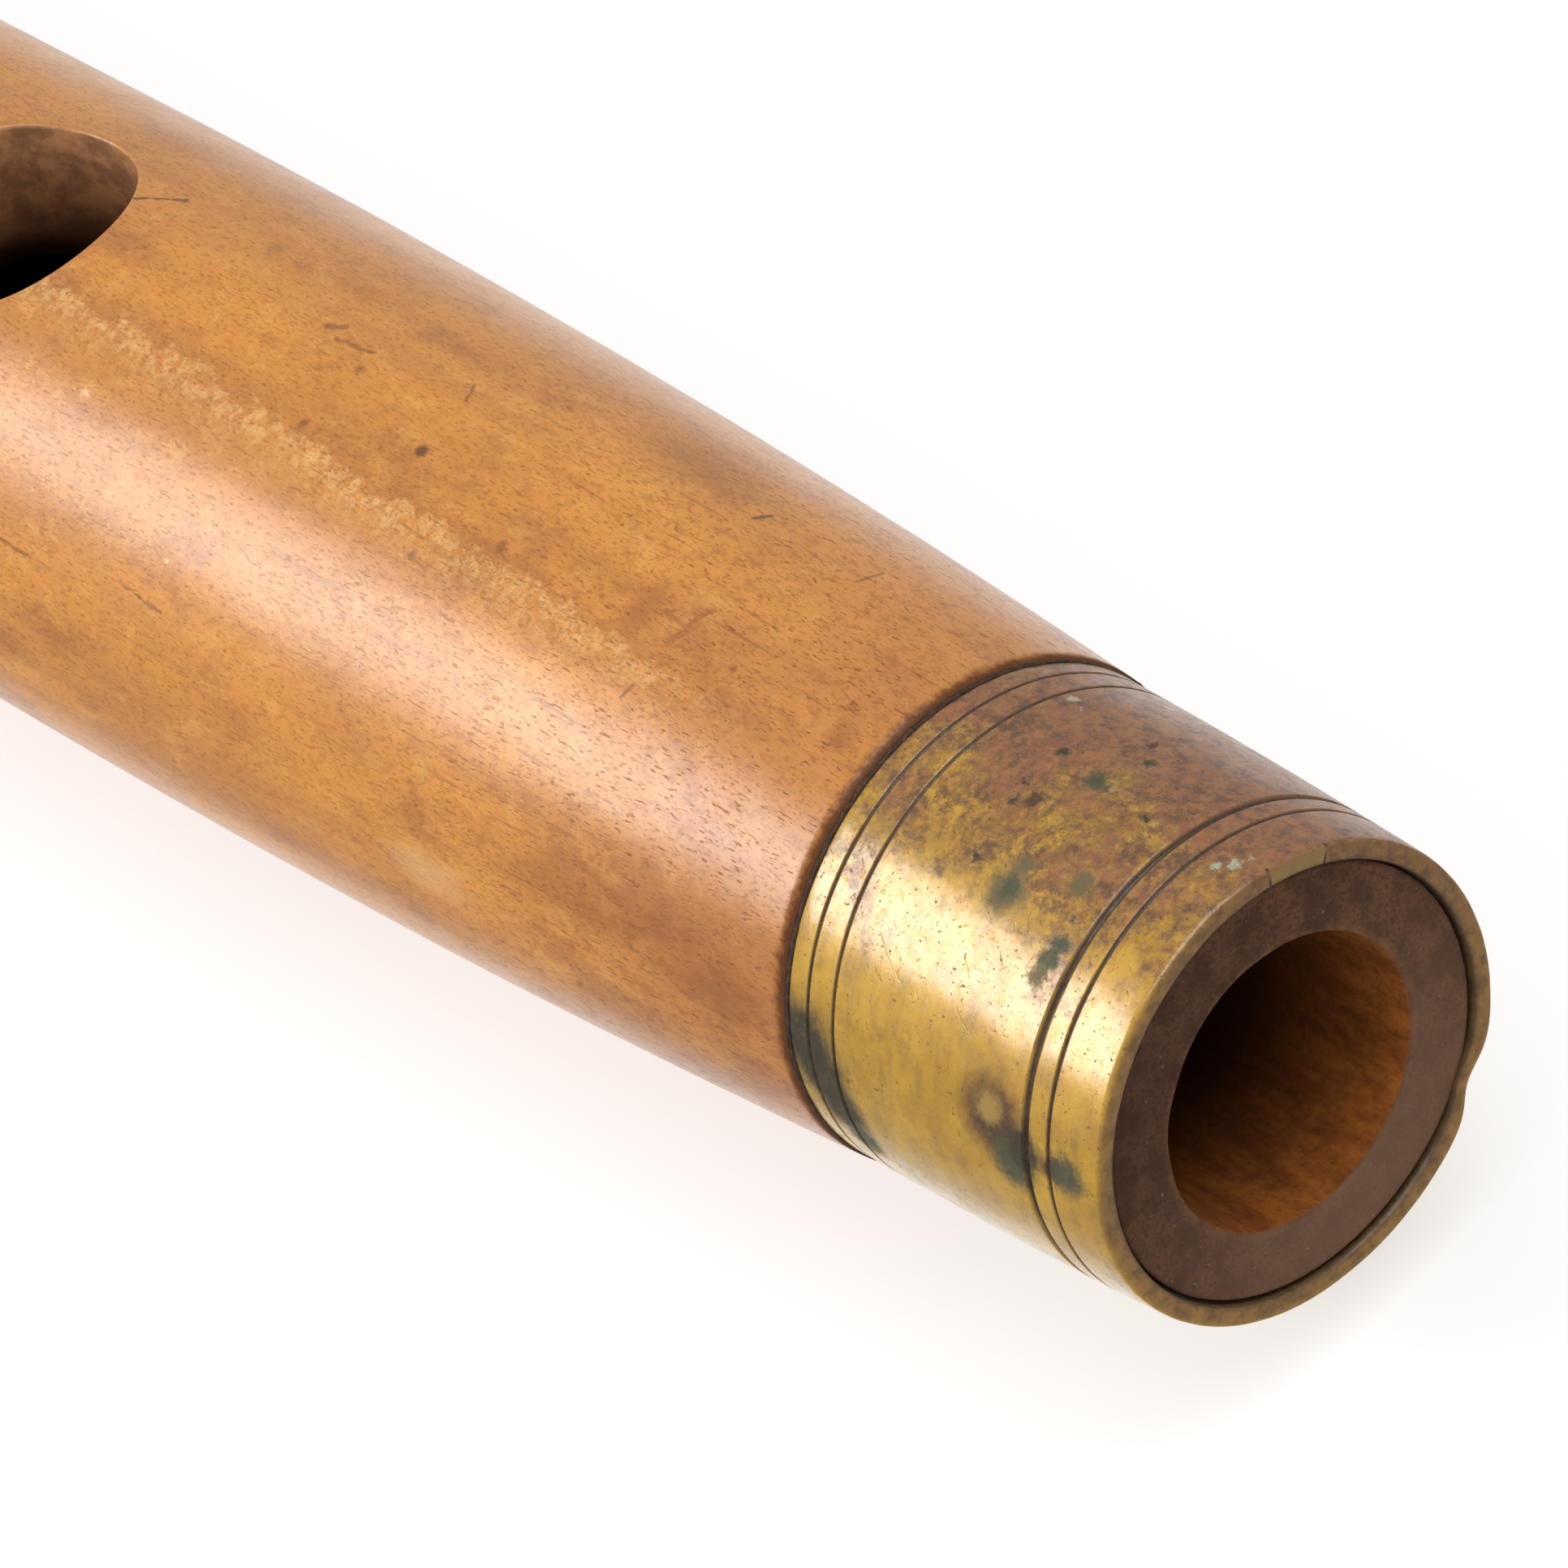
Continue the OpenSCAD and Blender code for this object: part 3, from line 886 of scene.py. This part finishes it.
def fife_body():
    """The whole wooden tube as one closed mesh."""
    build = Build("end_grain", "inside")
    windows = holes()
    outer_cells = [FINGER_ROWS] * (len(windows) - 1) + [MOUTH_ROWS]
    inner_cells = [c - 2 * (INNER_HALF - OUTER_HALF) for c in outer_cells]
    fine_from = MOUTH_X + 7
    outer_stretches = [
        (FOOT_SHOULDER_X, fine_from, COARSE_STEP), (fine_from, HEAD_SHOULDER_X, FINE_STEP),
    ]
    outer, outer_borders = tube_skin(
        build, wood_surface, OUTER_POINTS, OUTER_HALF, windows, OUTER_MARGIN, outer_cells,
        outer_stretches, {},
    )
    bore_start, bore_end = FOOT_X + END_RECESS + 1, HEAD_X - END_RECESS - 1
    inner, inner_borders = tube_skin(
        build, bore_surface, INNER_POINTS, INNER_HALF, windows, INNER_MARGIN, inner_cells,
        [(bore_start, STEP_X - 0.01, BORE_STEP)], {"inside": 1.0},
    )
    head_bore = [
        build.ring(circle(x, HEAD_BORE_R, INNER_POINTS), inside=1.0)
        for x in cuts([STEP_X, bore_end], HEAD_BORE_STEP)
    ]
    inner += head_bore
    build.bridge_all(inner[-len(head_bore) - 1:])
    for hole, above, below in zip(windows, outer_borders, inner_borders):
        cut_hole(build, hole, above, below)

    for rim_x, out, skin_row, bore_row, shoulder_x in (
        (HEAD_X, 1, outer[-1], inner[-1], HEAD_SHOULDER_X),
        (FOOT_X, -1, outer[0], inner[0], FOOT_SHOULDER_X),
    ):
        tenon, mouth = wood_end(build, rim_x, out)
        build.bridge(mouth, bore_row)
        root = build.ring(circle(shoulder_x, TENON_R, OUTER_POINTS))
        middle = build.ring(circle(shoulder_x + out * 4, TENON_R, OUTER_POINTS))
        build.bridge(skin_row, root)
        build.bridge(root, middle)
        build.bridge_half(middle, tenon)
    return build.piece("fife_body", boxwood(), "fife", "boxwood", "body")


# ---------------- ferrules, cement and cork

FERRULE_POINTS = 480
# (distance from the rim, half width, depth) of each turned groove
GROOVES = ((2.4, 0.11, 0.12), (3.5, 0.19, 0.2), (13.2, 0.10, 0.10), (14.5, 0.10, 0.10))


def ferrule_outer(s):
    u = s / FERRULE_LEN
    return RIM_R + (BACK_R - RIM_R) * u + 4 * FERRULE_BOW * u * (1 - u)


def groove_depth(s):
    depth = 0.0
    for place, half, deep in GROOVES:
        near = abs(s - place) / half
        if near < 1:
            depth = max(depth, deep * math.sqrt(1 - near * near))
    return depth


def ferrule_outline():
    """(s, radius, grime, rim) from the inner edge of the rim, over the outside, to the inside."""
    edge = 0.16
    outline = [(0.08, FERRULE_BORE_R, 0.8, 1), (0.02, FERRULE_BORE_R + 0.08, 0.3, 1)]
    outline += [(0.0, FERRULE_BORE_R + 0.2, 0, 1), (0.0, RIM_R - 0.35, 0, 1)]
    for q in (0, 30, 60, 90):
        turn = math.radians(q)
        outline.append((edge * (1 - math.cos(turn)), RIM_R - edge * (1 - math.sin(turn)), 0,
                        0.8 * (90 - q) / 90))
    places = set(cuts([edge + 0.1, FERRULE_LEN - 0.1], 0.4))
    for place, half, _ in GROOVES:
        places = {s for s in places if abs(s - place) > half * 1.6}
        places |= {place + half * k / 4 for k in range(-6, 7)}
    for s in sorted(places):
        deep = groove_depth(s)
        outline.append((s, ferrule_outer(s) - deep, min(1.0, deep / 0.06), 0))
    outline += [(FERRULE_LEN - 0.03, BACK_R - 0.02, 0.4, 0), (FERRULE_LEN, BACK_R - 0.08, 1, 0)]
    outline += [(FERRULE_LEN, FERRULE_BORE_R, 1, 0)]
    outline += [(s, FERRULE_BORE_R, 1, 0) for s in (12, 8, 4, 2, 1, 0.4)]
    return outline


def bump_at(phi, centre, width):
    """A smooth bump of height 1 at an angle, with the given half width in degrees."""
    away = (phi - centre + 180) % 360 - 180
    return math.exp(-((away / width) ** 2))


def ferrule(name, rim_x, out, material, node, dents):
    """A turned brass ring. dents are (phi, width, depth) at the rim."""
    build = Build("grime", "rim")
    rings = []
    for s, r, grime, rim in ferrule_outline():
        points = []
        for k in range(FERRULE_POINTS):
            phi = 360 * k / FERRULE_POINTS
            turn = math.radians(phi)
            near_rim = math.exp(-((s / RIM_REACH) ** 2))
            pushed = sum(deep * bump_at(phi, at, wide) for at, wide, deep in dents)
            pushed *= 0.6 + 0.4 * min(1.0, max(0.0, (r - FERRULE_BORE_R) / 0.5))
            at, wide, high = OUT_OF_ROUND[out]
            pushed = (pushed - high * bump_at(phi, at, wide)) * near_rim
            place = Vector((s * 0.25, r * math.sin(turn) * 0.3, r * math.cos(turn) * 0.3))
            here = r - pushed + (0.02 * noise.noise(place) if r > FERRULE_BORE_R else 0)
            ragged = 0.05 * noise.noise(place * 1.7) * near_rim
            x = rim_x - out * (s + max(0.0, ragged))
            points.append(around(x, here, turn))
        rings.append(build.ring(points, grime=grime, rim=rim))
    build.bridge_all(rings + rings[:1])
    return build.piece(name, material, "fife", "aged_brass", node)


def cement_ring(name, rim_x, out, material, node):
    """The cement film under a ferrule, with the crusty bead that shows at its back edge."""
    build = Build()
    front, back = FERRULE_LEN - CEMENT_LEN, FERRULE_LEN
    outline = [(front, TENON_R, 0), (front, FERRULE_BORE_R, 0), (back, FERRULE_BORE_R, 0)]
    outline += [(back, BACK_R - 0.14, 0)]
    for q in (0, 30, 60, 90, 120, 150, 180):
        turn = math.radians(q)
        reach = 0.5 * SEAM + 0.05
        s = back + SEAM / 2 - reach * math.cos(turn)
        outline.append((s, BACK_R + 0.06 * math.sin(turn), 1))
    outline += [(back + SEAM, BACK_R - 0.14, 0), (back + SEAM, TENON_R, 0)]
    rings = []
    for s, r, crust in outline:
        points = []
        for k in range(FERRULE_POINTS):
            turn = 2 * math.pi * k / FERRULE_POINTS
            place = Vector((s * 2.5, r * math.sin(turn) * 2.2, r * math.cos(turn) * 2.2))
            here = r + crust * 0.05 * noise.noise(place)
            x = rim_x - out * (s + crust * 0.05 * noise.noise(place + Vector((9, 0, 0))))
            points.append(around(x, here, turn))
        rings.append(build.ring(points))
    build.bridge_all(rings + rings[:1])
    return build.piece(name, material, "fife", "dark_cement", node)


def stopper():
    """The cork: a plug with softened ends and a pitted skin."""
    build = Build()
    length, bevel, n = CORK_HIGH[0] - CORK_LOW[0], 0.6, 160
    outline = [(0, r) for r in np.linspace(0.4, CORK_R - bevel, 12)]
    for q in (30, 60, 90):
        turn = math.radians(q)
        outline.append((bevel * (1 - math.cos(turn)), CORK_R - bevel * (1 - math.sin(turn))))
    half = [(x, CORK_R) for x in np.linspace(1.1, length / 2, 22)]
    outline += half
    outline += [(length - x, r) for x, r in reversed(outline[:-1])]
    rings = []
    for x, r in outline:
        points = []
        for k in range(n):
            turn = 2 * math.pi * k / n
            place = Vector((x, r * math.sin(turn), r * math.cos(turn)))
            pit = max(0.0, noise.noise(place * 0.9) - 0.25)
            pit += max(0.0, noise.noise(place * 2.1) - 0.35)
            here = r - 0.22 * pit - 0.01
            inward = 0.25 * pit * (1 if x < length / 2 else -1) * (1 if r < CORK_R - 0.3 else 0)
            points.append(around(CORK_LOW[0] + x + inward, here, turn))
        rings.append(build.ring(points))
    build.bridge_all(rings)
    for ring, x in ((rings[0], CORK_LOW[0]), (rings[-1], CORK_HIGH[0])):
        middle = build.ring([(x, 0, AXIS_Z)])[0]
        for k in range(n):
            build.faces.append((ring[k], ring[(k + 1) % n], middle))
    return build.piece("stopper_plug", cork(), "stopper", "cork", "stopper_cork")


# ---------------- floor and light


# In metres: half the floor's side, and how far it lies below the fife
FLOOR_HALF, FLOOR_GAP = 3.0, 0.00005


def floor():
    mesh = bpy.data.meshes.new("floor")
    corners = [(x * FLOOR_HALF, y * FLOOR_HALF, 0) for x, y in ((-1, -1), (1, -1), (1, 1), (-1, 1))]
    mesh.from_pydata(corners, [], [(0, 1, 2, 3)])
    mesh.materials.append(pale_floor())
    made = new_object("floor", mesh)
    made.location.z = cad_bounds[0].z - FLOOR_GAP
    made.visible_glossy = False


LAMP_DISTANCE = 0.9


def softbox(name, direction, width, height, radiance, colour):
    """A rectangular lamp that faces the head of the tube from the given direction."""
    data = bpy.data.lights.new(name, "AREA")
    data.shape = "RECTANGLE"
    data.size, data.size_y = width, height
    data.energy = radiance * math.pi * width * height
    data.color = colour
    lamp = new_object(name, data)
    away = Vector(direction).normalized()
    lamp.location = Vector((HEAD_X, 0, AXIS_Z)) * MM + away * LAMP_DISTANCE
    lamp.rotation_mode = "QUATERNION"
    lamp.rotation_quaternion = away.to_track_quat("Z", "X")


# Strength of the white room, and of the near and far parts of its floor
ROOM_LIGHT, NEAR_LIGHT, FAR_LIGHT = 0.42, 0.22, 0.94


def studio():
    """The white room. Only reflections see its lower half, because the floor hides it: that is
    dark in front and pale behind the foot, as a white table would be."""
    m = Shader(bpy.data.worlds.new("studio"), "Background")
    x, y, z = m.split(m.add("ShaderNodeTexCoord"))
    down = m.math("MULTIPLY", z, -1.0)
    far_part = m.ramp(m.math("ADD", down, m.math("MULTIPLY", y, 0.7)), 0.31, 0.88)
    far_part = m.both(far_part, m.ramp(m.math("MULTIPLY", x, -1.0), 0.1, 0.45))
    floor_light = m.math("ADD", m.both(far_part, FAR_LIGHT - NEAR_LIGHT), NEAR_LIGHT)
    below = m.ramp(down, 0.0, 0.12)
    room_light = m.both(m.math("SUBTRACT", 1.0, below), ROOM_LIGHT)
    strength = m.math("ADD", room_light, m.both(floor_light, below))
    return m.finish(Color=(1, 0.99, 0.975), Strength=strength)


def light():
    bpy.context.scene.world = studio()
    bpy.context.scene.view_settings.view_transform = "Standard"
    softbox("key", (-0.60, -0.605, 0.523), 0.40, 0.55, 5.2, (0.99, 0.958, 0.95))
    softbox("top", (0.22, 0.10, 0.97), 0.85, 0.85, 1.9, (1, 0.98, 0.96))


# ---------------- the whole fife

# (s, phi, radius, kind) of each blot on the brass
HEAD_MARKS = (
    (14.8, 73, 1.5, "black"), (14.1, 81, 1.4, "black"), (13.4, 89, 1.1, "black"),
    (12.9, 97, 0.8, "green"), (5.1, 67, 1.45, "brown"), (5.3, 65, 0.62, "gold"),
    (4.2, 76, 1.0, "green"), (3.6, 71, 0.8, "black"), (2.2, 72, 0.6, "brown"),
    (1.5, 72, 0.75, "green"), (4.4, 25, 0.38, "green"), (4.5, 29, 0.45, "green"),
    (4.6, 33, 0.45, "haze"), (4.5, 19, 0.17, "green"), (7.6, 21, 0.85, "haze"),
    (7.5, 20, 0.4, "green"), (7.5, 14, 0.4, "haze"), (5.1, 12, 0.5, "haze"),
    (9.5, 18, 0.3, "black"), (9.9, 3, 0.27, "black"), (9.3, 1, 0.32, "brown"),
    (10.2, -2, 0.2, "brown"), (10.2, -13, 0.28, "black"), (8.1, -11, 0.5, "green"),
    (5.3, -9, 0.25, "black"), (7.6, -23, 0.25, "black"), (8.5, -29, 0.25, "brown"),
    (1.1, -11, 0.22, "pale"), (1.5, -8, 0.16, "pale"), (0.9, -14, 0.14, "pale"),
    (7.3, -11, 0.14, "pale"), (12.7, -29, 0.2, "pale"), (11.9, -27.6, 0.12, "pale"),
)
FOOT_MARKS = (
    (5.2, -40, 0.9, "black"), (9.6, 62, 0.8, "green"), (2.0, 118, 0.7, "green"),
    (11.8, 20, 0.5, "black"), (6.1, 171, 1.0, "black"), (3.2, 4, 0.4, "pale"),
)

place_camera()
light()
floor()
fife_body()
ferrule(
    "head_ring", HEAD_X, 1, aged_brass("head_brass", HEAD_ORIGIN, HEAD_MARKS, (-13.9, -30.8)),
    "head_ferrule", dents=((-133, 7.2, 0.50), (60, 20, 0.03)),
)
ferrule(
    "foot_ring", FOOT_X, -1, aged_brass("foot_brass", FOOT_ORIGIN, FOOT_MARKS, (12.0, 26.0)),
    "foot_ferrule", dents=((35, 9, 0.12), (150, 16, 0.06)),
)
cement = dark_cement()
cement_ring("head_cement_bead", HEAD_X, 1, cement, "head_cement")
cement_ring("foot_cement_bead", FOOT_X, -1, cement, "foot_cement")
stopper()
